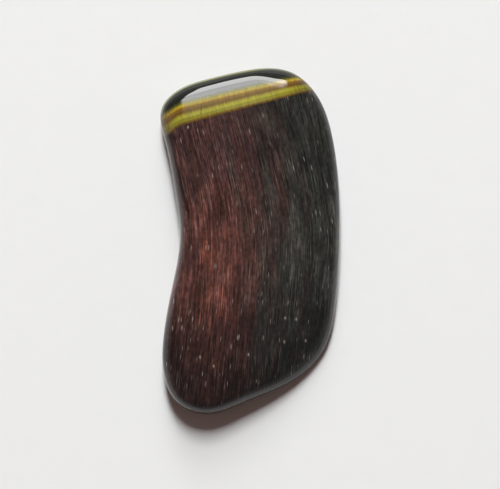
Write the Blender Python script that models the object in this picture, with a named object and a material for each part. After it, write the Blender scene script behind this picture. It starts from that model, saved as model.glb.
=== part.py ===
"""A polished freeform pebble of hawk's eye, one solid, in metres with +Z up.

The pebble lies flat on its ground back. Seen from above it is a long bean:
the golden banded end points along +Y, the hollowed flank faces -X and the
full flank faces +X. The origin is on the back, under the middle of its box.
"""

import math

import bmesh
import bpy
import numpy as np

MM = 0.001
OBJECT_NAME = "hawk_eye_pebble"

# Height and crown
# From its summit the crown falls slowly across the pebble, with the square of
# the distance. Towards each end the slope grows with the fourth power of the
# distance and would be 45 degrees at the end's fall length, so that the middle
# is flat and the ends are steep. The golden end's fall is turned to the left
# of +Y, and the dark end's from -Y towards the full flank.
THICKNESS = 2.3 * MM
SUMMIT_X = -2.7 * MM
SUMMIT_Y = -0.6 * MM
GOLDEN_FALL_LENGTH = 11.35 * MM
DARK_FALL_LENGTH = 10.5 * MM
CROWN_RADIUS_ACROSS = 46.0 * MM
GOLDEN_FALL_TURN = math.radians(17.0)
DARK_FALL_TURN = math.radians(45.0)

# Outline
# The points that the widest line passes through, in millimetres, seen from
# above, anticlockwise from the middle of the full flank.
OUTLINE_POINTS_MM = (
    (5.45, 0.00),
    (5.43, 3.10),
    (5.04, 6.42),
    (4.10, 9.07),
    (2.33, 10.64),
    (0.20, 10.74),
    (-2.65, 10.12),
    (-4.61, 9.34),
    (-5.51, 8.24),
    (-5.32, 6.30),
    (-4.67, 3.10),
    (-4.36, 0.20),
    (-4.79, -2.62),
    (-5.35, -5.80),
    (-5.34, -8.10),
    (-4.47, -9.95),
    (-2.80, -10.61),
    (-0.40, -9.90),
    (2.60, -8.50),
    (4.45, -6.65),
    (5.18, -3.90),
)

# Shoulder, the rounding from the crown down to the widest line
# Its width differs with the way that the edge faces.
SHOULDER_WIDTH_FULL_FLANK = 0.85 * MM
SHOULDER_WIDTH_HOLLOW_FLANK = 0.85 * MM
SHOULDER_WIDTH_LOWER_LEFT = 1.1 * MM
SHOULDER_WIDTH_GOLDEN_END = 0.9 * MM
SHOULDER_WIDTH_SHARP_CORNER = 0.5 * MM
SHOULDER_WIDTH_ROUND_CORNER = 1.6 * MM
SHOULDER_WIDTH_DARK_END = 0.8 * MM
LOWER_LEFT_STARTS_Y = -1.5 * MM
LOWER_LEFT_FULL_Y = -6.5 * MM
SHARP_CORNER_STARTS_Y = 7.8 * MM
SHARP_CORNER_FULL_Y = 8.9 * MM
ROUND_CORNER_STARTS_X = 0.0 * MM
ROUND_CORNER_FULL_X = 2.2 * MM

# The shoulder's height, as a share of the crown's height over the edge
SHOULDER_SHARE = 0.50
SHOULDER_SHARE_ROUND_CORNER = 0.85

# Heel, the rounding from the widest line down to the ground back
HEEL_WIDTH_LEAST = 0.4 * MM
HEEL_WIDTH_PER_HEIGHT = 0.35

# Both roundings are superellipses. Above 2 they join the crown, the flank and
# the back with no jump in curvature.
ROUNDING_POWER = 2.25

# Mesh density
STEPS_PER_SPAN = 40
COLUMNS = 100
CROWN_RINGS = 9
SHOULDER_RINGS = 9
HEEL_RINGS = 6
BACK_RINGS = 3

# Finish
STONE_COLOUR = (0.055, 0.028, 0.026, 1.0)
STONE_ROUGHNESS = 0.12
STONE_COAT = 1.0


def closed_curve(points, steps_per_span):
    """Return close-set places on a smooth closed curve through the points.

    The curve is a closed cubic spline: each span is a cubic, and the speeds at
    the points are solved so that the curvature is continuous too.
    """
    count = len(points)
    to_next = np.roll(points, -1, axis=0) - points
    chord = np.linalg.norm(to_next, axis=1)
    chord_before = np.roll(chord, 1)
    slope = to_next / chord[:, None]
    slope_before = np.roll(slope, 1, axis=0)

    here = np.arange(count)
    system = np.zeros((count, count))
    system[here, here] = 2.0 * (chord + chord_before)
    system[here, here - 1] = chord
    system[here, (here + 1) % count] = chord_before
    right_side = 3.0 * (chord[:, None] * slope_before + chord_before[:, None] * slope)
    speed = np.linalg.solve(system, right_side)

    span = np.repeat(here, steps_per_span)
    part = np.tile(np.arange(steps_per_span) / steps_per_span, count)[:, None]
    start = points[span]
    end = points[(span + 1) % count]
    start_speed = speed[span] * chord[span][:, None]
    end_speed = speed[(span + 1) % count] * chord[span][:, None]

    return (
        (2 * part**3 - 3 * part**2 + 1) * start
        + (part**3 - 2 * part**2 + part) * start_speed
        + (3 * part**2 - 2 * part**3) * end
        + (part**3 - part**2) * end_speed
    )


def evenly_spaced(curve, count):
    """Return places the same length apart along a closed curve."""
    closed = np.vstack([curve, curve[:1]])
    length = np.linalg.norm(np.diff(closed, axis=0), axis=1)
    reached = np.concatenate([[0.0], np.cumsum(length)])
    wanted = np.arange(count) / count * reached[-1]
    return np.column_stack([np.interp(wanted, reached, closed[:, axis]) for axis in (0, 1)])


def pebble_outline():
    """Return the widest line's places and outward normals, its box centred."""
    points = np.array(OUTLINE_POINTS_MM) * MM
    place = evenly_spaced(closed_curve(points, STEPS_PER_SPAN), COLUMNS)
    place -= (place.min(axis=0) + place.max(axis=0)) / 2
    along = np.roll(place, -1, axis=0) - np.roll(place, 1, axis=0)
    along /= np.linalg.norm(along, axis=1)[:, None]
    return place, np.column_stack([along[:, 1], -along[:, 0]])


def crown_height(place):
    """Return the height of the crown over a place seen from above."""
    off_x = place[..., 0] - SUMMIT_X
    off_y = place[..., 1] - SUMMIT_Y
    across = off_x * math.cos(GOLDEN_FALL_TURN) + off_y * math.sin(GOLDEN_FALL_TURN)
    to_golden = off_y * math.cos(GOLDEN_FALL_TURN) - off_x * math.sin(GOLDEN_FALL_TURN)
    to_dark = off_x * math.sin(DARK_FALL_TURN) - off_y * math.cos(DARK_FALL_TURN)
    fall_across = across**2 / (2 * CROWN_RADIUS_ACROSS)
    fall_golden = np.maximum(to_golden, 0.0) ** 5 / (5 * GOLDEN_FALL_LENGTH**4)
    fall_dark = np.maximum(to_dark, 0.0) ** 5 / (5 * DARK_FALL_LENGTH**4)
    return THICKNESS - fall_across - fall_golden - fall_dark


def smooth_step(value, start, end):
    """Go from 0 at start to 1 at end, level at both."""
    part = np.clip((value - start) / (end - start), 0.0, 1.0)
    return part * part * (3 - 2 * part)


def shoulder_size(place, normal):
    """Return the shoulder's width and height, mixed by the way that the edge faces."""
    facing = np.maximum(normal, 0.0) ** 2
    facing_back = np.maximum(-normal, 0.0) ** 2
    lower_left = smooth_step(place[:, 1], LOWER_LEFT_STARTS_Y, LOWER_LEFT_FULL_Y)
    widening = SHOULDER_WIDTH_LOWER_LEFT - SHOULDER_WIDTH_HOLLOW_FLANK
    left_width = SHOULDER_WIDTH_HOLLOW_FLANK + widening * lower_left
    sharp_corner = smooth_step(place[:, 1], SHARP_CORNER_STARTS_Y, SHARP_CORNER_FULL_Y)
    left_width -= (SHOULDER_WIDTH_HOLLOW_FLANK - SHOULDER_WIDTH_SHARP_CORNER) * sharp_corner
    round_corner = smooth_step(place[:, 0], ROUND_CORNER_STARTS_X, ROUND_CORNER_FULL_X)
    corner_widening = SHOULDER_WIDTH_ROUND_CORNER - SHOULDER_WIDTH_GOLDEN_END
    golden_width = SHOULDER_WIDTH_GOLDEN_END + corner_widening * round_corner
    width = (
        facing[:, 0] * SHOULDER_WIDTH_FULL_FLANK
        + facing[:, 1] * golden_width
        + facing_back[:, 0] * left_width
        + facing_back[:, 1] * SHOULDER_WIDTH_DARK_END
    )
    corner_share = (SHOULDER_SHARE_ROUND_CORNER - SHOULDER_SHARE) * facing[:, 1] * round_corner
    return width, (SHOULDER_SHARE + corner_share) * crown_height(place)


def rounding(turn):
    """Return how far out and how far up a rounding is, each 0 to 1.

    At turn 0 it stands upright at its full reach, and at turn 1 it lies level.
    """
    angle = turn * np.pi / 2
    power = 2.0 / ROUNDING_POWER
    out = np.clip(np.cos(angle), 0.0, 1.0) ** power
    up = np.clip(np.sin(angle), 0.0, 1.0) ** power
    return out, up


def pebble_rings():
    """Return the pebble's rings of places, from the summit to the back."""
    outline, normal = pebble_outline()
    width, drop = shoulder_size(outline, normal)
    width = width[:, None]
    widest_line_height = crown_height(outline) - drop
    heel_width = (HEEL_WIDTH_LEAST + HEEL_WIDTH_PER_HEIGHT * widest_line_height)[:, None]
    rings = []

    shoulder_line = outline - normal * width
    for fraction in np.arange(CROWN_RINGS) / CROWN_RINGS:
        place = shoulder_line * fraction
        rings.append(np.column_stack([place, crown_height(place)]))

    for turn in np.linspace(1.0, 0.0, SHOULDER_RINGS, endpoint=False):
        out, up = rounding(turn)
        place = outline - normal * width * (1 - out)
        rings.append(np.column_stack([place, crown_height(place) - drop * (1 - up)]))

    for turn in np.linspace(0.0, 1.0, HEEL_RINGS, endpoint=False):
        out, up = rounding(turn)
        place = outline - normal * heel_width * (1 - out)
        rings.append(np.column_stack([place, widest_line_height * (1 - up)]))

    back_line = outline - normal * heel_width
    for fraction in np.linspace(1.0, 0.0, BACK_RINGS + 1):
        place = back_line * fraction
        rings.append(np.column_stack([place, np.zeros(len(place))]))
    return np.array(rings)


def shape_ball(mesh, rings):
    """Move a ball's vertices onto the rings, longitude for longitude."""
    last_ring = len(rings) - 1
    around = rings.shape[1]
    ball = np.empty(len(mesh.vertices) * 3)
    mesh.vertices.foreach_get("co", ball)
    ball = ball.reshape(-1, 3)
    polar_angle = np.arccos(np.clip(ball[:, 2], -1.0, 1.0))
    ring = np.rint(polar_angle / np.pi * last_ring).astype(int)
    longitude = np.arctan2(ball[:, 1], ball[:, 0]) / (2 * np.pi)
    column = np.rint(longitude * around).astype(int) % around
    mesh.vertices.foreach_set("co", rings[ring, column].ravel())
    mesh.update()


def stone_material():
    """Return the polished dark stone."""
    material = bpy.data.materials.new("polished_stone")
    material.use_nodes = True
    shader = material.node_tree.nodes["Principled BSDF"]
    shader.inputs["Base Color"].default_value = STONE_COLOUR
    shader.inputs["Roughness"].default_value = STONE_ROUGHNESS
    shader.inputs["Metallic"].default_value = 0.0
    shader.inputs["Coat Weight"].default_value = STONE_COAT
    material.diffuse_color = STONE_COLOUR
    return material


def make_stone(collection):
    """Make the pebble from a ball that is drawn out to the pebble's rings."""
    rings = pebble_rings()
    ball = bmesh.new()
    bmesh.ops.create_uvsphere(
        ball,
        u_segments=rings.shape[1],
        v_segments=len(rings) - 1,
        radius=1.0,
    )
    mesh = bpy.data.meshes.new("stone")
    ball.to_mesh(mesh)
    ball.free()
    shape_ball(mesh, rings)
    mesh.shade_smooth()
    mesh.materials.append(stone_material())
    stone = bpy.data.objects.new("stone", mesh)
    collection.objects.link(stone)
    return stone


def main():
    for thing in list(bpy.data.objects):
        bpy.data.objects.remove(thing, do_unlink=True)
    collection = bpy.data.collections.new(OBJECT_NAME)
    bpy.context.scene.collection.children.link(collection)
    make_stone(collection)


if __name__ == "__main__":
    main()
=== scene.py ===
"""A polished freeform hawk's eye pebble and the pale stage that it is seen on.

The pebble is one closed surface, worked out on a grid of columns round its outline
and rings from its summit to its back. Its stone is a solid pattern of fibres and
bands, read at each place from the pebble's own coordinates.

Everything is in metres, +Z up. The golden end points along +Y.
"""

import math

import bpy
import numpy as np
from bpy.props import FloatProperty, FloatVectorProperty, IntProperty, PointerProperty
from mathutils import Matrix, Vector


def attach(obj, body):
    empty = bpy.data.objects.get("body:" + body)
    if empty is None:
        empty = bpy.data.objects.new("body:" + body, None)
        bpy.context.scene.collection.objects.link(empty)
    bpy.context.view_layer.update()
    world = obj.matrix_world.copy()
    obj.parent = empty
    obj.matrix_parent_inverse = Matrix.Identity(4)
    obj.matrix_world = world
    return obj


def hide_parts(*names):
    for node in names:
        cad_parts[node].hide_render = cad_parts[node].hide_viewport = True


bl_info = {
    "name": "Hawk's Eye Pebble",
    "version": (1, 0, 0),
    "blender": (4, 5, 0),
    "location": "3D View > Sidebar > Pebble",
    "description": "Makes a polished pebble of hawk's eye on a pale floor",
    "category": "Add Mesh",
}

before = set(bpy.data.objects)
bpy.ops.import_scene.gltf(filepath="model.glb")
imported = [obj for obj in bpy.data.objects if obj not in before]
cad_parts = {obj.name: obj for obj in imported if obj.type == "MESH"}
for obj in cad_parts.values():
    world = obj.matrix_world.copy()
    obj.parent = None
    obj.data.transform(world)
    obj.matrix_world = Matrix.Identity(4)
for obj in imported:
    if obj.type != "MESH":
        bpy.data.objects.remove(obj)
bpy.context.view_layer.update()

MM = 0.001

# Outline
# The points that the widest line passes through, in millimetres, seen from
# above, anticlockwise from the middle of the full flank.
OUTLINE_POINTS_MM = (
    (5.45, 0.00),
    (5.43, 3.10),
    (5.04, 6.42),
    (4.10, 9.07),
    (2.33, 10.64),
    (0.20, 10.74),
    (-2.65, 10.12),
    (-4.61, 9.34),
    (-5.51, 8.24),
    (-5.32, 6.30),
    (-4.67, 3.10),
    (-4.36, 0.20),
    (-4.79, -2.62),
    (-5.35, -5.80),
    (-5.34, -8.10),
    (-4.47, -9.95),
    (-2.80, -10.61),
    (-0.40, -9.90),
    (2.60, -8.50),
    (4.45, -6.65),
    (5.18, -3.90),
)
STEPS_PER_SPAN = 40

# Painted glints: bright specks in the body where fibre ends catch the light, and how far they reach across
# and along, in millimetres
GLINT_SPECKS_MM = (
    (-3.80, 6.82),
    (-3.04, -7.29),
    (-2.21, -7.84),
    (-0.09, -7.13),
    (2.09, -6.34),
    (2.15, -4.90),
    (2.82, -4.96),
    (3.40, -6.25),
)
GLINT_SPECK_REACH_MM = (0.045, 0.085)

# Soft patches in the body: their place and reach in millimetres, and how much
# lighter they are, as a power of e
SOFT_PATCHES = (
    (2.7, 0.2, 0.50, 2.3, 0.78),
    (2.7, 4.9, 0.40, 0.90, 0.35),
    (-1.5, -1.6, 0.50, 1.9, 0.20),
    (1.3, 4.1, 0.60, 0.70, 0.34),
    (0.3, 1.2, 0.50, 1.6, 0.22),
    (3.7, -4.3, 0.90, 2.4, -0.34),
    (-4.3, 5.0, 0.90, 3.4, -0.42),
    (-4.6, -6.5, 0.90, 2.4, -0.26),
)

# The place and reach, in millimetres, of a greenish streak in the maroon side and
# of the painted sheen there, a brighter red that stands in for the fibres' chatoyant
# shine, and how sharply that sheen ends
GREEN_STREAK_MM = (-0.50, 4.2, 0.25, 1.9)
PAINTED_SHEEN_MM = (-1.9, -2.2, 2.3, 6.0)
PAINTED_SHEEN_SHARPNESS = 1.4

# Hairline cracks across the bands: their middle and half length in millimetres
CRACKS_MM = (
    (-2.09, 9.06, 0.42),
    (-3.00, 7.98, 0.40),
    (-0.61, 9.30, 0.14),
)
CRACK_REACH_MM = 0.028

# The gold line's place over the pebble's middle, in millimetres, its slope
# towards the full flank, and how far it droops at the hollow one
GOLD_LINE_Y_MM = 9.27
GOLD_LINE_SLOPE = 0.254
GOLD_LINE_DROOP_MM = 0.36

# The window's bars: their height and half width, as shares of the window's
# height, and how much darker they are
WINDOW_BARS = (
    (0.475, 0.035, 0.26),
    (0.55, 0.012, 0.07),
    (0.59, 0.014, 0.14),
    (0.64, 0.012, 0.08),
)

WHITE = (1.0, 1.0, 1.0)
YELLOWISH = (1.0, 0.97, 0.62)
WARM = (1.0, 0.67, 0.58)

# Where the shoulder's width changes
LOWER_LEFT_STARTS_Y = -1.5 * MM
LOWER_LEFT_FULL_Y = -6.5 * MM
SHARP_CORNER_STARTS_Y = 7.8 * MM
SHARP_CORNER_FULL_Y = 8.9 * MM
ROUND_CORNER_STARTS_X = 0.0 * MM
ROUND_CORNER_FULL_X = 2.2 * MM


# Settings


def length(name, description, millimetres):
    """Return a length that a user can change, given in millimetres."""
    metres = millimetres * MM
    return FloatProperty(name=name, description=description, default=metres, unit="LENGTH", precision=5)


def angle(name, description, degrees):
    """Return an angle that a user can change, given in degrees."""
    radians = math.radians(degrees)
    return FloatProperty(name=name, description=description, default=radians, unit="ROTATION")


def distance(name, description, metres):
    """Return a length of the stage that a user can change, given in metres."""
    return FloatProperty(name=name, description=description, default=metres, unit="LENGTH")


def number(name, description, default):
    """Return a plain number that a user can change."""
    return FloatProperty(name=name, description=description, default=default)


def whole_number(name, description, default):
    """Return a whole number that a user can change."""
    return IntProperty(name=name, description=description, default=default)


def colour(name, description, red, green, blue):
    """Return a colour that a user can change, in scene-linear numbers."""
    return FloatVectorProperty(
        name=name, description=description, default=(red, green, blue), subtype="COLOR", min=0.0, max=1.0
    )


class PebbleShape(bpy.types.PropertyGroup):
    """Sizes of the pebble"""

    thickness: length("Thickness", "Height of the summit over the back", 2.3)
    summit_x: length("Summit across", "Place of the summit across the pebble", -2.7)
    summit_y: length("Summit along", "Place of the summit along the pebble", -0.6)
    golden_fall: length("Golden fall length", "Where the golden end would fall at 45 degrees", 11.35)
    dark_fall: length("Dark fall length", "Where the dark end would fall at 45 degrees", 10.5)
    crown_across: length("Crown radius across", "Radius of the crown at the summit, crosswise", 46.0)
    golden_turn: angle("Golden fall turn", "Turn of the golden end's fall to the left of +Y", 17.0)
    dark_turn: angle("Dark fall turn", "Turn of the dark end's fall from -Y towards the full flank", 45.0)
    shoulder_full: length("Full flank's shoulder", "Width of the rounding on the full flank", 0.85)
    shoulder_hollow: length("Hollow flank's shoulder", "Width of the rounding on the hollow flank", 0.85)
    shoulder_lower_left: length("Lower left shoulder", "Width of the rounding below the hollow", 1.1)
    shoulder_golden: length("Golden end's shoulder", "Width of the rounding left on the golden end", 0.9)
    shoulder_sharp: length("Sharp corner's shoulder", "Width of the rounding at the golden corner", 0.5)
    shoulder_round: length("Round corner's shoulder", "Width of the rounding right on the golden end", 1.6)
    shoulder_dark: length("Dark end's shoulder", "Width of the rounding at the dark end", 0.8)
    shoulder_share: number("Shoulder's share", "Height of the rounding, as a share of the crown's", 0.50)
    corner_share: number("Round corner's share", "The same share right on the golden end", 0.85)
    heel_least: length("Least heel", "Width of the lower rounding where the edge is thinnest", 0.40)
    heel_rate: number("Heel rate", "Width that the lower rounding gains with the edge's height", 0.35)
    rounding_power: number("Rounding power", "Power of the superellipse of both roundings", 2.25)
    columns: whole_number("Columns", "Grid columns round the outline", 400)
    crown_rings: whole_number("Crown rings", "Grid rings on the crown", 80)
    shoulder_rings: whole_number("Shoulder rings", "Grid rings on the shoulder", 64)
    heel_rings: whole_number("Heel rings", "Grid rings on the lower rounding", 40)
    back_rings: whole_number("Back rings", "Grid rings on the flat back", 24)


class PebbleColours(bpy.types.PropertyGroup):
    """Colours of the pebble's stone, and of the painted sheen, glints and rim reflection on it"""

    maroon: colour("Maroon", "Fibres on the hollow side", 0.056, 0.0215, 0.0175)
    plum: colour("Plum", "Rosy fibres among the maroon ones", 0.072, 0.034, 0.034)
    # Painted sheen: a brighter red in the stone's colour for the fibres' chatoyant shine
    painted_sheen: colour("Glow", "Fibres that glow through the hollow side", 0.17, 0.048, 0.030)
    blue_black: colour("Blue black", "Fibres on the full side", 0.0215, 0.0215, 0.0185)
    # Pale hairs of the fibres, and painted glints in the short strokes and bright specks
    silk_and_glints: colour("Silk", "Pale threads among the fibres", 0.32, 0.27, 0.25)
    tip: colour("Tip", "Dark stone beyond the gold line", 0.006, 0.007, 0.004)
    # Partly the olive stone of the rim and partly a painted reflection of the floor at the grazing edge
    edge: colour("Edge", "Stone at the very edge of the golden end", 0.19, 0.195, 0.075)
    # Painted sheen: the yellowish shine of the window's reflection over the gold line
    painted_haze: colour("Haze", "Yellowish stone that fades out beyond the gold line", 0.13, 0.115, 0.008)
    rust: colour("Rust", "The ragged lower edge of the bands", 0.14, 0.070, 0.020)
    umber: colour("Umber", "Dull speckles where the bands meet the hollow side", 0.12, 0.078, 0.036)
    gold: colour("Gold", "The gold line", 0.262, 0.178, 0.007)
    amber: colour("Amber", "The orange seams beside the gold and green bands", 0.18, 0.070, 0.010)
    brown: colour("Brown", "The brown band", 0.155, 0.083, 0.010)
    green: colour("Yellow green", "The broad yellow-green band", 0.285, 0.262, 0.024)
    olive: colour("Olive", "The darker lines in the yellow-green band", 0.185, 0.148, 0.016)


class StageSettings(bpy.types.PropertyGroup):
    """Sizes of the floor, the window light and the camera's place"""

    floor_size: distance("Floor size", "Side of the pale floor", 2.0)
    floor_colour: colour("Floor colour", "Colour of the pale floor", 0.88, 0.88, 0.892)
    light_distance: distance("Light distance", "From the pebble to the window and the daylight", 1.0)
    window_width: distance("Window width", "Width of the window", 0.567)
    window_height: distance("Window height", "Height of the window", 0.808)
    window_elevation: angle("Window elevation", "Height of the window's middle", 35)
    window_azimuth: angle("Window azimuth", "Turn of the window to the left of +Y", -3.6)
    window_brightness: number("Window brightness", "Brightness, where the lit floor is about 1", 10.0)
    daylight_width: distance("Daylight width", "Width of the soft light", 0.19)
    daylight_height: distance("Daylight height", "Height of the soft light", 0.35)
    daylight_elevation: angle("Daylight elevation", "Height of the soft light", 47.5)
    daylight_azimuth: angle("Daylight azimuth", "Turn of the soft light to the left of +Y", 3.5)
    daylight_brightness: number("Daylight brightness", "Brightness on the window's scale", 43.5)
    daylight: colour("Daylight", "Colour of the soft light", 0.947, 0.993, 1.0)
    camera_distance: distance("Camera distance", "From the pebble to the camera", 0.2)
    camera_tilt: angle("Camera tilt", "Lean of the camera off the vertical", 5)
    view_width: length("View width", "Width of the view at the pebble", 30.7)


# The pebble's surface


def closed_curve(points, steps_per_span):
    """Return close-set places on a smooth closed curve through the points.

    The curve is a closed cubic spline: each span is a cubic, and the speeds at
    the points are solved so that the curvature is continuous too.
    """
    count = len(points)
    to_next = np.roll(points, -1, axis=0) - points
    chord = np.linalg.norm(to_next, axis=1)
    chord_before = np.roll(chord, 1)
    slope = to_next / chord[:, None]
    slope_before = np.roll(slope, 1, axis=0)

    here = np.arange(count)
    system = np.zeros((count, count))
    system[here, here] = 2.0 * (chord + chord_before)
    system[here, here - 1] = chord
    system[here, (here + 1) % count] = chord_before
    right_side = 3.0 * (chord[:, None] * slope_before + chord_before[:, None] * slope)
    speed = np.linalg.solve(system, right_side)

    span = np.repeat(here, steps_per_span)
    part = np.tile(np.arange(steps_per_span) / steps_per_span, count)[:, None]
    start = points[span]
    end = points[(span + 1) % count]
    start_speed = speed[span] * chord[span][:, None]
    end_speed = speed[(span + 1) % count] * chord[span][:, None]
    return (
        (2 * part**3 - 3 * part**2 + 1) * start
        + (part**3 - 2 * part**2 + part) * start_speed
        + (3 * part**2 - 2 * part**3) * end
        + (part**3 - part**2) * end_speed
    )


def evenly_spaced(curve, count):
    """Return places the same length apart along a closed curve."""
    closed = np.vstack([curve, curve[:1]])
    step = np.linalg.norm(np.diff(closed, axis=0), axis=1)
    reached = np.concatenate([[0.0], np.cumsum(step)])
    wanted = np.arange(count) / count * reached[-1]
    return np.column_stack([np.interp(wanted, reached, closed[:, axis]) for axis in (0, 1)])


def pebble_outline(columns):
    """Return the widest line's places and outward normals, its box centred."""
    points = np.array(OUTLINE_POINTS_MM) * MM
    place = evenly_spaced(closed_curve(points, STEPS_PER_SPAN), columns)
    place -= (place.min(axis=0) + place.max(axis=0)) / 2
    along = np.roll(place, -1, axis=0) - np.roll(place, 1, axis=0)
    along /= np.linalg.norm(along, axis=1)[:, None]
    return place, np.column_stack([along[:, 1], -along[:, 0]])


def crown_height(shape, x, y):
    """Return the crown's height at x and y, which may be numbers, arrays or shader values.

    From its summit the crown falls slowly across the pebble, with the square of
    the distance. Towards each end the slope grows with the fourth power of the
    distance, so that the middle is flat and the ends are steep.
    """
    off_x = x - shape.summit_x
    off_y = y - shape.summit_y
    cosine, sine = math.cos(shape.golden_turn), math.sin(shape.golden_turn)
    across = off_x * cosine + off_y * sine
    fall = across * across / (2 * shape.crown_across)
    to_golden = off_y * cosine - off_x * sine
    to_dark = off_x * math.sin(shape.dark_turn) - off_y * math.cos(shape.dark_turn)
    for towards, fall_length in ((to_golden, shape.golden_fall), (to_dark, shape.dark_fall)):
        reached = (towards + abs(towards)) / (2 * fall_length)
        squared = reached * reached
        fall = fall + squared * squared * reached * (fall_length / 5)
    return shape.thickness - fall


def smooth_step(value, start, end):
    """Go from 0 at start to 1 at end, level at both."""
    part = np.clip((value - start) / (end - start), 0.0, 1.0)
    return part * part * (3 - 2 * part)


def shoulder_size(shape, place, normal):
    """Return the shoulder's width and height.

    They are those of the four ways that an edge can face, mixed by the squares
    of the outward normal's parts.
    """
    facing = np.maximum(normal, 0.0) ** 2
    facing_back = np.maximum(-normal, 0.0) ** 2
    lower_left = smooth_step(place[:, 1], LOWER_LEFT_STARTS_Y, LOWER_LEFT_FULL_Y)
    left_width = shape.shoulder_hollow + (shape.shoulder_lower_left - shape.shoulder_hollow) * lower_left
    sharp = smooth_step(place[:, 1], SHARP_CORNER_STARTS_Y, SHARP_CORNER_FULL_Y)
    left_width -= (shape.shoulder_hollow - shape.shoulder_sharp) * sharp
    round_corner = smooth_step(place[:, 0], ROUND_CORNER_STARTS_X, ROUND_CORNER_FULL_X)
    golden_width = shape.shoulder_golden + (shape.shoulder_round - shape.shoulder_golden) * round_corner
    width = (
        facing[:, 0] * shape.shoulder_full
        + facing[:, 1] * golden_width
        + facing_back[:, 0] * left_width
        + facing_back[:, 1] * shape.shoulder_dark
    )
    share = shape.shoulder_share + (shape.corner_share - shape.shoulder_share) * facing[:, 1] * round_corner
    return width, share * crown_height(shape, place[:, 0], place[:, 1])


def widest_ring(shape):
    """Return the number of the grid's ring that is the widest line."""
    return shape.crown_rings + shape.shoulder_rings - 1


def pebble_grid(shape):
    """Return the pebble's places, rings by columns by 3, and the inset of each.

    The inset is how far a place lies in from the widest line. It is below zero
    on the lower side. The two poles are left out of the grid.

    Ring and column are the two parameters. The crown is a fraction of the way
    from the middle to the shoulder line. The shoulder and the heel are a quarter
    of a superellipse, drawn inwards along the outline's normal, and the back is
    level. turn is 0 where a rounding stands upright and 1 where it lies level.
    """
    outline, normal = pebble_outline(shape.columns)
    width, drop = shoulder_size(shape, outline, normal)
    widest = crown_height(shape, outline[:, 0], outline[:, 1]) - drop
    heel = shape.heel_least + shape.heel_rate * widest

    upper_turn = np.concatenate([np.ones(shape.crown_rings), np.linspace(1, 0, shape.shoulder_rings + 1)[1:]])
    upper_part = np.minimum(np.arange(1, len(upper_turn) + 1) / shape.crown_rings, 1.0)
    lower_turn = np.concatenate([np.linspace(0, 1, shape.heel_rings + 1)[1:], np.ones(shape.back_rings - 1)])
    lower_part = np.minimum(np.arange(len(lower_turn), 0, -1) / shape.back_rings, 1.0)

    def reach(turn, inset):
        angle = turn * np.pi / 2
        power = 2.0 / shape.rounding_power
        out = np.clip(np.cos(angle), 0.0, 1.0)[:, None] ** power
        up = np.clip(np.sin(angle), 0.0, 1.0)[:, None] ** power
        inwards = inset * (1 - out)
        return outline - normal * inwards[..., None], up, inwards

    place, up, upper_inset = reach(upper_turn, width)
    place = place * upper_part[:, None, None]
    upper = np.dstack([place, crown_height(shape, place[..., 0], place[..., 1]) - drop * (1 - up)])
    place, up, lower_inset = reach(lower_turn, heel)
    lower = np.dstack([place * lower_part[:, None, None], widest * (1 - up)])
    return np.concatenate([upper, lower]), np.concatenate([upper_inset, -lower_inset])


def flattened(rings, pole):
    """Return the rings laid level, each place as far from the pole as it is along the surface."""
    chain = np.concatenate([np.broadcast_to(pole, (1, *rings.shape[1:])), rings])
    along = np.cumsum(np.linalg.norm(np.diff(chain, axis=0), axis=2), axis=0)
    level = rings[..., :2] - pole[:2]
    return level / np.linalg.norm(level, axis=2)[..., None] * along[..., None]


def add_flat_map(mesh, grid, widest, top, bottom):
    """Add a UV map with the pebble's upper side on its left half and the lower side on its right half."""
    filled = 0.98
    left, right = (0.25, 0.5), (0.75, 0.5)
    upper = flattened(grid[: widest + 1], top)
    lower = flattened(grid[widest:][::-1], bottom)[::-1] * (-1, 1)
    both = np.concatenate([upper.reshape(-1, 2), lower.reshape(-1, 2)])
    scale = filled / max(4 * abs(both[:, 0]).max(), 2 * abs(both[:, 1]).max())

    def corners(side, middle):
        place = side * scale + middle
        beside = np.roll(place, -1, axis=1)
        quads = np.stack([place[:-1], place[1:], beside[1:], beside[:-1]], axis=2)
        pole = np.broadcast_to(middle, place[0].shape)
        return place, beside, quads.reshape(-1, 2), pole

    upper_place, upper_beside, upper_quads, top_pole = corners(upper, left)
    lower_place, lower_beside, lower_quads, bottom_pole = corners(lower, right)
    top_fan = np.stack([top_pole, upper_place[0], upper_beside[0]], axis=1)
    bottom_fan = np.stack([bottom_pole, lower_beside[-1], lower_place[-1]], axis=1)
    corner = np.concatenate([upper_quads, lower_quads, top_fan.reshape(-1, 2), bottom_fan.reshape(-1, 2)])
    mesh.uv_layers.new(name="OFBake").data.foreach_set("uv", corner.ravel())


def closed_mesh(name, grid, top, bottom):
    """Return a mesh of quads over a grid of rings by columns, closed by a fan at each pole."""
    rings, columns, _ = grid.shape
    places = np.vstack([[top], grid.reshape(-1, 3), [bottom]])
    number = 1 + np.arange(rings * columns).reshape(rings, columns)
    beside = np.roll(number, -1, axis=1)
    quads = np.dstack([number[:-1], number[1:], beside[1:], beside[:-1]]).reshape(-1, 4)
    last = len(places) - 1
    top_fan = np.column_stack([np.zeros(columns, int), number[0], beside[0]])
    bottom_fan = np.column_stack([np.full(columns, last), beside[-1], number[-1]])
    mesh = bpy.data.meshes.new(name)
    mesh.from_pydata(places, [], quads.tolist() + top_fan.tolist() + bottom_fan.tolist())
    mesh.shade_smooth()
    return mesh


# Shader nodes as arithmetic


class Value:
    """A number that shader nodes work out: arithmetic on it adds Math nodes."""

    def __init__(self, pattern, socket):
        self.pattern = pattern
        self.socket = socket

    def __add__(self, other):
        return self.pattern.math("ADD", self, other)

    def __sub__(self, other):
        return self.pattern.math("SUBTRACT", self, other)

    def __rsub__(self, other):
        return self.pattern.math("SUBTRACT", other, self)

    def __mul__(self, other):
        return self.pattern.math("MULTIPLY", self, other)

    def __truediv__(self, other):
        return self.pattern.math("DIVIDE", self, other)

    def __abs__(self):
        return self.pattern.math("ABSOLUTE", self)

    __radd__ = __add__
    __rmul__ = __mul__


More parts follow.
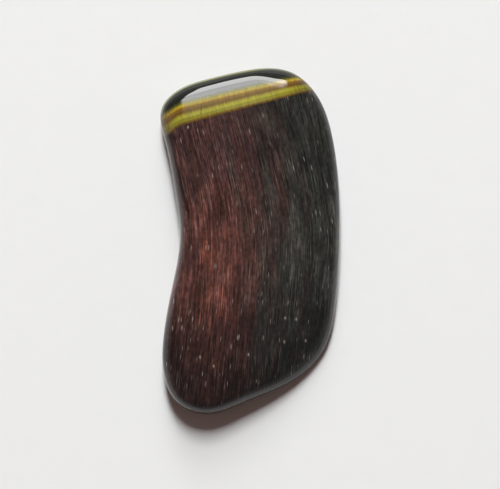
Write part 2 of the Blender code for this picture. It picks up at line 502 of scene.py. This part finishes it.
class Pattern:
    """Adds shader nodes to a node tree. Each call returns what its node gives."""

    def __init__(self, tree):
        self.tree = tree

    def feed(self, socket, value):
        """Link a socket to a node's result, or set it to a plain value."""
        if isinstance(value, Value):
            value = value.socket
        if isinstance(value, bpy.types.NodeSocket):
            self.tree.links.new(value, socket)
        else:
            socket.default_value = value

    def node(self, kind, inputs, **settings):
        node = self.tree.nodes.new(kind)
        for name, value in settings.items():
            setattr(node, name, value)
        for key, value in inputs.items():
            self.feed(node.inputs[key], value)
        return node

    def math(self, operation, *values):
        node = self.node("ShaderNodeMath", dict(enumerate(values)), operation=operation)
        return Value(self, node.outputs[0])

    def root(self, value):
        return self.math("SQRT", value)

    def power_of_e(self, value):
        return self.math("EXPONENT", value)

    def larger(self, first, second):
        return self.math("MAXIMUM", first, second)

    def bell(self, x, y, middle_x, middle_y, reach_x, reach_y, sharpness=1.0):
        """Fall smoothly from 1 at a middle, as e to the power of minus the squared distance."""
        off_x = (x - middle_x) / reach_x
        off_y = (y - middle_y) / reach_y
        return self.power_of_e((off_x * off_x + off_y * off_y) * -sharpness)

    def combine(self, x, y, z):
        return self.node("ShaderNodeCombineXYZ", {0: x, 1: y, 2: z}).outputs[0]

    def separate(self, vector):
        node = self.node("ShaderNodeSeparateXYZ", {0: vector})
        return [Value(self, output) for output in node.outputs]

    def step(self, value, start, end):
        """Go smoothly from 0 where value is start to 1 where it is end."""
        inputs = {"Value": value, "From Min": start, "From Max": end, "To Min": 0.0, "To Max": 1.0}
        node = self.node("ShaderNodeMapRange", inputs, interpolation_type="SMOOTHSTEP")
        return Value(self, node.outputs[0])

    def fall(self, value, start, end):
        """Go smoothly from 1 where value is start to 0 where it is end."""
        return 1.0 - self.step(value, start, end)

    def object_place(self, unit):
        """Return the place on the object, measured in this unit."""
        place = self.node("ShaderNodeTexCoord", {}).outputs["Object"]
        inputs = {0: place, "Scale": 1 / unit}
        return self.node("ShaderNodeVectorMath", inputs, operation="SCALE").outputs[0]

    def noise(self, vector, detail=2.0, roughness=0.5):
        inputs = {"Vector": vector, "Scale": 1.0, "Detail": detail, "Roughness": roughness}
        return Value(self, self.node("ShaderNodeTexNoise", inputs).outputs[0])

    def clouds(self, x, y, rate_x, rate_y, seed, detail=2.0):
        """Noise with this many cells to a millimetre across and along."""
        return self.noise(self.combine(x * rate_x, y * rate_y, seed), detail)

    def mix(self, amount, first, second, blend="MIX"):
        node = self.node("ShaderNodeMix", {}, data_type="RGBA", blend_type=blend)
        for key, value in ((0, amount), (6, first), (7, second)):
            self.feed(node.inputs[key], value)
        return node.outputs[2]

    def lit(self, shade, light):
        """Multiply a colour by a number."""
        return self.mix(1.0, shade, self.combine(light, light, light), blend="MULTIPLY")

    def ramp(self, value, stops):
        """Return a colour ramp of (position, colour) stops."""
        node = self.node("ShaderNodeValToRGB", {0: value})
        elements = node.color_ramp.elements
        while len(elements) < len(stops):
            elements.new(1.0)
        for element, (position, shade) in zip(elements, stops):
            element.position = position
            element.color = shade
        return node.outputs[0]


# The stone


def opaque(shade):
    """Return a colour with full alpha."""
    return (*shade, 1.0)


def darker(shade, share):
    """Return a share of a colour."""
    return tuple(share * part for part in shade)


def fibre_space(pattern, shape):
    """Return x and y in millimetres, and across, depth and a streak function.

    The fibres run lengthwise in sheets that bow towards the full flank. across
    is the same all along a fibre, and depth is the distance below the crown.
    """
    x, y, z = pattern.separate(pattern.object_place(unit=MM))

    bow_middle, bow_reach = 0.5, 2.0
    hinge_share, lean_share = 0.17, 0.07
    wander_reach = 0.35
    cells_are_deeper = 3.0
    off = y - bow_middle
    bow = hinge_share * (pattern.root(off * off + bow_reach**2) - bow_reach) + lean_share * off
    wander = pattern.noise(pattern.combine(x * 0.22, y * 0.10, z * 0.3), detail=1.0) - 0.5
    across = x + bow + wander * wander_reach
    depth = crown_height(shape, x * MM, y * MM) / MM - z

    def streaks(width, length, seed, detail=2.0):
        """Noise drawn out along the fibres, its cells of this width and length in millimetres."""
        sheet = depth / (width * cells_are_deeper)
        return pattern.noise(pattern.combine(across / width, y / length + seed, sheet + seed), detail)

    return x, y, across, depth, streaks


def body_colour(pattern, colours, x, y, across, streaks):
    """Return the colour of the dark fibrous body, with its painted sheen and glints."""
    broad = streaks(width=0.80, length=12.0, seed=3.0) - 0.5
    middle = streaks(width=0.30, length=8.0, seed=11.0, detail=3.0) - 0.5
    fine = streaks(width=0.12, length=4.5, seed=23.0) - 0.5
    grain = streaks(width=0.06, length=1.4, seed=31.0, detail=1.0) - 0.5
    rosy = pattern.step(streaks(width=0.20, length=7.0, seed=61.0), 0.42, 0.66)
    ruddy = pattern.step(streaks(width=0.34, length=9.0, seed=67.0, detail=3.0), 0.50, 0.66)
    cloud = pattern.clouds(x, y, 0.8, 0.5, seed=5.0, detail=4.0) - 0.5
    mottle = pattern.clouds(x, y, 5.5, 3.0, seed=9.0, detail=3.0) - 0.5
    patch = pattern.clouds(across, y, 1.4, 0.5, seed=13.0, detail=3.0) - 0.5
    combed = pattern.step(pattern.clouds(across, y, 0.9, 0.28, seed=29.0), 0.38, 0.62)

    # side is 0 in the maroon stone and 1 in the blue-black, and streaks of
    # either run into the other
    side = pattern.step(across + broad * 6.0 + middle * 7.0 + fine * 7.0 - ruddy * 1.8, -2.4, 3.4)
    side = pattern.larger(side, pattern.bell(across, y, *GREEN_STREAK_MM) * 0.75)

    # A painted sheen: the fibres' chatoyant shine, painted as brighter red on the maroon side
    near_painted_sheen = pattern.bell(x, y, *PAINTED_SHEEN_MM, sharpness=PAINTED_SHEEN_SHARPNESS)
    painted_sheen = near_painted_sheen * (0.22 + 0.50 * pattern.step(broad + middle * 0.8 + fine * 0.6 + cloud, -0.20, 0.32))

    base = pattern.mix(rosy, opaque(colours.maroon), opaque(colours.plum))
    base = pattern.mix(painted_sheen, base, opaque(colours.painted_sheen))
    base = pattern.mix(side, base, opaque(colours.blue_black))

    # How light the fibres are, as a power of e, and less so towards either end
    lightness = middle * 1.6 + fine * (1.1 + combed * 1.8) + grain * (2.4 + combed * 1.6)
    lightness = lightness + cloud * 1.2 + patch * 2.0 + mottle * 2.0
    for *place_and_reach, amount in SOFT_PATCHES:
        lightness = lightness + pattern.bell(x, y, *place_and_reach) * amount
    light = pattern.power_of_e(lightness)
    light = light * (1.0 - pattern.step(y, 0.0, 7.0) * 0.22) * (1.0 - pattern.step(0.0 - y, 2.6, 8.8) * 0.52)
    hollow_side = pattern.fall(across, -0.5, 2.0)
    light = light * (1.0 - pattern.step(0.0 - y, 3.4, 5.2) * hollow_side * 0.26)
    base = pattern.lit(base, light)
    return pattern.mix(pale_threads_and_glints(pattern, x, y, across, streaks), base, opaque(colours.silk_and_glints))


def pale_threads_and_glints(pattern, x, y, across, streaks):
    """Return how strong the pale threads are: faint hairs, and short strokes and bright specks that are
    painted glints off fibre ends.
    """
    crowded = pattern.step(pattern.clouds(across, y, 0.7, 0.30, seed=17.0), 0.40, 0.62)
    hairs = pattern.step(streaks(width=0.055, length=1.6, seed=41.0, detail=1.0), 0.58, 0.80)
    hairs = hairs * (0.08 + crowded * 0.22)

    # Painted glints: short bright strokes where fibre ends catch the light
    dash_width, dash_length = 0.085, 0.55
    dash_cell = pattern.combine(across / dash_width, y / dash_length, 0.0)
    dash = pattern.node("ShaderNodeTexVoronoi", {"Vector": dash_cell, "Scale": 1.0})
    chosen, strength, _ = pattern.separate(dash.outputs["Color"])
    near = pattern.fall(Value(pattern, dash.outputs["Distance"]), 0.12, 0.46)
    glint_dashes = near * pattern.step(chosen + crowded * 0.14, 0.93, 0.955) * strength * strength * 0.9
    threads = pattern.larger(hairs, glint_dashes)
    for glint_speck in GLINT_SPECKS_MM:
        threads = pattern.larger(threads, pattern.bell(x, y, *glint_speck, *GLINT_SPECK_REACH_MM))
    return threads


def band_colour(pattern, colours, base, x, y, depth, streaks):
    """Lay the golden end's bands over the body: they follow the distance from the gold line."""
    droop = pattern.step(0.0 - x, 4.1, 5.3) * GOLD_LINE_DROOP_MM
    gold_line = GOLD_LINE_Y_MM + x * GOLD_LINE_SLOPE - droop
    fray = (streaks(width=0.10, length=3.0, seed=71.0) - 0.5) * 0.14
    fray = fray + (streaks(width=0.045, length=2.0, seed=73.0) - 0.5) * 0.12
    narrowing = 1.0 - x * 0.025
    height = (y - gold_line + depth * 0.12 + fray) / narrowing
    top, reach = 0.35, 1.7
    tip, amber = colours.tip, colours.amber
    gold, painted_haze, rust = colours.gold, colours.painted_haze, colours.rust
    # The yellowish stops over the gold line are a painted sheen of the window's reflection
    faint_painted_haze = darker(painted_haze, 0.3)
    brown, green, olive = colours.brown, colours.green, colours.olive
    dark_brown = darker(brown, 0.6)
    dull_green = darker(green, 0.8)
    stops_mm = (
        (0.34, tip),
        (0.20, faint_painted_haze),
        (0.08, painted_haze),
        (0.00, gold),
        (-0.10, gold),
        (-0.19, amber),
        (-0.28, brown),
        (-0.38, dark_brown),
        (-0.48, brown),
        (-0.62, green),
        (-0.76, green),
        (-0.84, olive),
        (-0.91, dull_green),
        (-0.98, olive),
        (-1.05, rust),
        (-1.14, dark_brown),
    )
    stops = [((top - stop) / reach, opaque(shade)) for stop, shade in stops_mm]
    bands = pattern.ramp((top - height) / reach, stops)

    # Fibres and cracks across the bands, and the gold line, brighter at both ends
    grain = 0.18 + streaks(width=0.06, length=1.2, seed=83.0) * 0.95
    grain = grain + streaks(width=0.16, length=2.5, seed=87.0) * 0.69
    ends = pattern.step(abs(x + 0.9), 2.4, 3.6)
    near_line = pattern.fall(abs(height), 0.05, 0.12)
    grain = grain * (1.0 + ends * near_line * 0.4) * (1.0 - pattern.step(0.0 - x, 1.5, 4.5) * 0.08)
    # Painted shade: the bands darken towards the right end, where the surface curves away from the light
    grain = grain * (1.0 - pattern.step(x, 2.4, 3.3) * 0.40)
    for crack_x, crack_y, half_length in CRACKS_MM:
        off_x = (x - crack_x) / CRACK_REACH_MM
        near_crack = pattern.power_of_e(0.0 - off_x * off_x)
        within = pattern.fall(abs(y - crack_y), 0.7 * half_length, half_length)
        grain = grain * (1.0 - near_crack * within * 0.7)
    bands = pattern.lit(bands, grain)

    speckles = pattern.step(pattern.clouds(x, y, 9.0, 7.0, seed=3.0), 0.30, 0.55)
    speckled = pattern.fall(x, -5.2, -4.35) * speckles * pattern.fall(height, 0.10, 0.25)
    bands = pattern.mix(speckled * 0.8, bands, opaque(colours.umber))

    inset = pattern.node("ShaderNodeAttribute", {}, attribute_name="inset").outputs["Fac"]
    inset = Value(pattern, inset) / MM
    # The golden end's rim: olive stone, lightened with a painted reflection of the floor
    at_rim = pattern.fall(inset, 0.09, 0.20) * pattern.step(inset, -0.10, -0.01)
    rim_and_painted_reflection = at_rim * pattern.step(height, 0.12, 0.30) * (1.0 - pattern.step(x, -0.5, 1.5) * 0.6)
    bands = pattern.mix(rim_and_painted_reflection, bands, opaque(colours.edge))

    ragged = (streaks(width=0.09, length=1.5, seed=91.0) - 0.5) * 0.14
    present = pattern.step(height + ragged, -1.20, -1.09)
    return pattern.mix(present, base, bands)


def stone_material(shape, colours):
    """Return the stone: silky fibres and bands under a clear polish."""
    material = bpy.data.materials.new("polished_stone")
    material.use_nodes = True
    pattern = Pattern(material.node_tree)
    shader = material.node_tree.nodes["Principled BSDF"]
    x, y, across, depth, streaks = fibre_space(pattern, shape)
    base = body_colour(pattern, colours, x, y, across, streaks)
    base = band_colour(pattern, colours, base, x, y, depth, streaks)
    pattern.feed(shader.inputs["Base Color"], base)

    roughness = 0.32 + streaks(width=0.12, length=2.0, seed=97.0) * 0.24
    pattern.feed(shader.inputs["Roughness"], roughness)
    fibres = streaks(width=0.08, length=2.0, seed=23.0)
    relief = {"Strength": 0.25, "Distance": 0.02 * MM, "Height": fibres}
    pattern.feed(shader.inputs["Normal"], pattern.node("ShaderNodeBump", relief).outputs[0])
    shader.inputs["Specular IOR Level"].default_value = 0.02
    shader.inputs["Coat Weight"].default_value = 1.0
    shader.inputs["Coat Roughness"].default_value = 0.03
    shader.inputs["Coat IOR"].default_value = 1.54
    return material


# Operators


class MakePebble(bpy.types.Operator):
    """Make the pebble and its polished stone"""

    bl_idname = "pebble.make_stone"
    bl_label = "Pebble"

    def execute(self, context):
        shape = context.scene.pebble_shape
        grid, inset = pebble_grid(shape)
        top = np.array([0.0, 0.0, crown_height(shape, 0.0, 0.0)])
        bottom = np.zeros(3)
        mesh = closed_mesh("polished_pebble", grid, top, bottom)
        add_flat_map(mesh, grid, widest_ring(shape), top, bottom)
        insets = np.concatenate([[inset.max()], inset.ravel(), [inset.min()]])
        mesh.attributes.new("inset", "FLOAT", "POINT").data.foreach_set("value", insets)
        mesh.materials.append(stone_material(shape, context.scene.pebble_colours))
        pebble = bpy.data.objects.new("polished_pebble", mesh)
        context.scene.collection.objects.link(pebble)
        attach(pebble, "root")
        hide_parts("stone")
        return {"FINISHED"}


def add_floor(scene, stage):
    """Make the pale floor, a square with a faint tooth."""
    half = stage.floor_size / 2
    corner = np.array([[-half, -half, 0], [half, -half, 0], [half, half, 0], [-half, half, 0]])
    mesh = bpy.data.meshes.new("pale_floor")
    mesh.from_pydata(corner, [], [(0, 1, 2, 3)])
    material = bpy.data.materials.new("pale_floor")
    material.use_nodes = True
    pattern = Pattern(material.node_tree)
    shader = material.node_tree.nodes["Principled BSDF"]
    tooth = pattern.noise(pattern.object_place(unit=1.5 * MM), detail=5.0, roughness=0.6)
    pale = stage.floor_colour
    shade = pattern.mix(tooth, opaque(darker(pale, 0.97)), opaque(pale))
    pattern.feed(shader.inputs["Base Color"], shade)
    relief = {"Strength": 0.3, "Distance": 0.03 * MM, "Height": tooth}
    pattern.feed(shader.inputs["Normal"], pattern.node("ShaderNodeBump", relief).outputs[0])
    shader.inputs["Roughness"].default_value = 0.9
    mesh.materials.append(material)
    floor = bpy.data.objects.new("pale_floor", mesh)
    scene.collection.objects.link(floor)


def direction_from(azimuth, elevation):
    """Return the unit direction at this turn to the left of +Y and this height."""
    flat = math.cos(elevation)
    return Vector((-math.sin(azimuth) * flat, math.cos(azimuth) * flat, math.sin(elevation)))


def add_light(scene, stage, name, azimuth, elevation, width, height, brightness, shade=WHITE):
    """Make a flat light that faces the pebble, and return its object."""
    light = bpy.data.lights.new(name, "AREA")
    light.shape = "RECTANGLE"
    light.size = width
    light.size_y = height
    light.energy = brightness * math.pi * width * height
    light.color = shade
    holder = bpy.data.objects.new(name, light)
    direction = direction_from(azimuth, elevation)
    holder.location = direction * stage.light_distance
    holder.rotation_euler = direction.to_track_quat("Z", "Y").to_euler()
    holder.visible_camera = False
    scene.collection.objects.link(holder)
    return holder


def add_window(scene, stage):
    """Make the window that the polish reflects.

    rise is 0 at its sill and 1 at its top, and aside is 0 on its right. It is
    brightest just over the sill, has thin bars above that, and fades out
    towards its top, where what is behind it is yellowish.
    """
    window = add_light(
        scene,
        stage,
        "window",
        stage.window_azimuth,
        stage.window_elevation,
        stage.window_width,
        stage.window_height,
        stage.window_brightness,
    )
    light = window.data
    light.use_nodes = True
    pattern = Pattern(light.node_tree)
    parametric = pattern.node("ShaderNodeNewGeometry", {}).outputs["Parametric"]
    aside, rise, _ = pattern.separate(parametric)
    brightest = 1.10 - pattern.step(rise, 0.36, 0.46) * 0.24
    fade = 1.0 - pattern.step(rise, 0.53, 0.76) * 0.83 - pattern.step(rise, 0.76, 0.90) * 0.06
    fade = fade - pattern.step(rise, 0.93, 1.0) * 0.11
    bars = 1.0
    for middle, half_width, dimmer in WINDOW_BARS:
        bars = bars - pattern.fall(abs(rise - middle), 0.0, half_width) * dimmer

    # The sill slants, the left side leans, and a dim corner fills the right top
    left_side = 0.98 - (rise - 0.348) * 0.32
    sill = (0.9 - aside) * 0.311
    open_part = pattern.step(rise - sill, -0.012, 0.012) * pattern.step(aside, 0.21, 0.31)
    open_part = open_part * pattern.fall(aside - left_side, -0.008, 0.008)
    right_top = pattern.step(rise, 0.36, 0.56) * pattern.fall(aside, 0.25, 0.42)
    open_part = open_part * (1.0 - right_top * 0.8)

    emission = light.node_tree.nodes["Emission"]
    pattern.feed(emission.inputs["Strength"], brightest * fade * bars * open_part)
    yellowish = pattern.step(rise, 0.55, 0.66)
    pattern.feed(emission.inputs["Color"], pattern.mix(yellowish, opaque(WHITE), opaque(YELLOWISH)))


def add_daylight(scene, stage):
    """Make the soft light that lights the stone and the floor, and isn't seen in the polish."""
    daylight = add_light(
        scene,
        stage,
        "daylight",
        stage.daylight_azimuth,
        stage.daylight_elevation,
        stage.daylight_width,
        stage.daylight_height,
        stage.daylight_brightness,
        stage.daylight,
    )
    daylight.visible_glossy = False


def add_room(scene):
    """Make the room's dim light: brighter below the window, and pale behind the floor.

    What the stone and the floor gather from it is warmer and a little dimmer.
    """
    world = bpy.data.worlds.new("room")
    world.use_nodes = True
    pattern = Pattern(world.node_tree)
    direction = pattern.node("ShaderNodeTexCoord", {}).outputs["Generated"]
    up = pattern.separate(direction)[2]
    dim = 0.13 + pattern.fall(up, 0.0, 0.6) * 0.30
    path = pattern.node("ShaderNodeLightPath", {})
    seen = Value(pattern, path.outputs["Is Camera Ray"])
    gathered = Value(pattern, path.outputs["Is Diffuse Ray"])
    background = world.node_tree.nodes["Background"]
    pattern.feed(background.inputs["Color"], pattern.mix(gathered, opaque(WHITE), opaque(WARM)))
    pattern.feed(background.inputs["Strength"], dim * (1.0 - gathered * 0.30) + seen * 0.7)
    scene.world = world


def add_camera(scene, stage):
    """Make the camera: high over the pebble, leaning a little towards the dark end."""
    camera = bpy.data.cameras.new("camera")
    camera.sensor_width = 36.0
    camera.lens = camera.sensor_width * stage.camera_distance / stage.view_width
    camera.clip_start = 0.005
    holder = bpy.data.objects.new("camera", camera)
    aim = Vector((0.0, -0.31 * MM, 1.0 * MM))
    direction = Vector((0.0, -math.sin(stage.camera_tilt), math.cos(stage.camera_tilt)))
    holder.location = aim + direction * stage.camera_distance
    holder.rotation_euler = (stage.camera_tilt, 0.0, 0.0)
    scene.collection.objects.link(holder)
    scene.camera = holder


class SetStage(bpy.types.Operator):
    """Make the floor, the lights and the camera"""

    bl_idname = "pebble.set_stage"
    bl_label = "Stage"

    def execute(self, context):
        scene = context.scene
        stage = scene.pebble_stage
        scene.view_settings.view_transform = "Standard"
        add_floor(scene, stage)
        add_window(scene, stage)
        add_daylight(scene, stage)
        add_room(scene)
        add_camera(scene, stage)
        return {"FINISHED"}


class PebblePanel(bpy.types.Panel):
    """Buttons and settings of the pebble"""

    bl_idname = "VIEW3D_PT_hawks_eye_pebble"
    bl_label = "Hawk's Eye Pebble"
    bl_space_type = "VIEW_3D"
    bl_region_type = "UI"
    bl_category = "Pebble"

    def draw(self, context):
        layout = self.layout
        for operator in OPERATORS:
            layout.operator(operator.bl_idname)
        for name, group in SETTINGS.items():
            box = layout.box()
            for field in group.__annotations__:
                box.prop(getattr(context.scene, name), field)


OPERATORS = (SetStage, MakePebble)
SETTINGS = {"pebble_shape": PebbleShape, "pebble_colours": PebbleColours, "pebble_stage": StageSettings}
CLASSES = (*SETTINGS.values(), *OPERATORS, PebblePanel)


def register():
    for item in CLASSES:
        bpy.utils.register_class(item)
    for name, group in SETTINGS.items():
        setattr(bpy.types.Scene, name, PointerProperty(type=group))


def unregister():
    for name in SETTINGS:
        delattr(bpy.types.Scene, name)
    for item in reversed(CLASSES):
        bpy.utils.unregister_class(item)


def main():
    register()
    bpy.ops.pebble.set_stage()
    bpy.ops.pebble.make_stone()


if __name__ == "__main__":
    main()
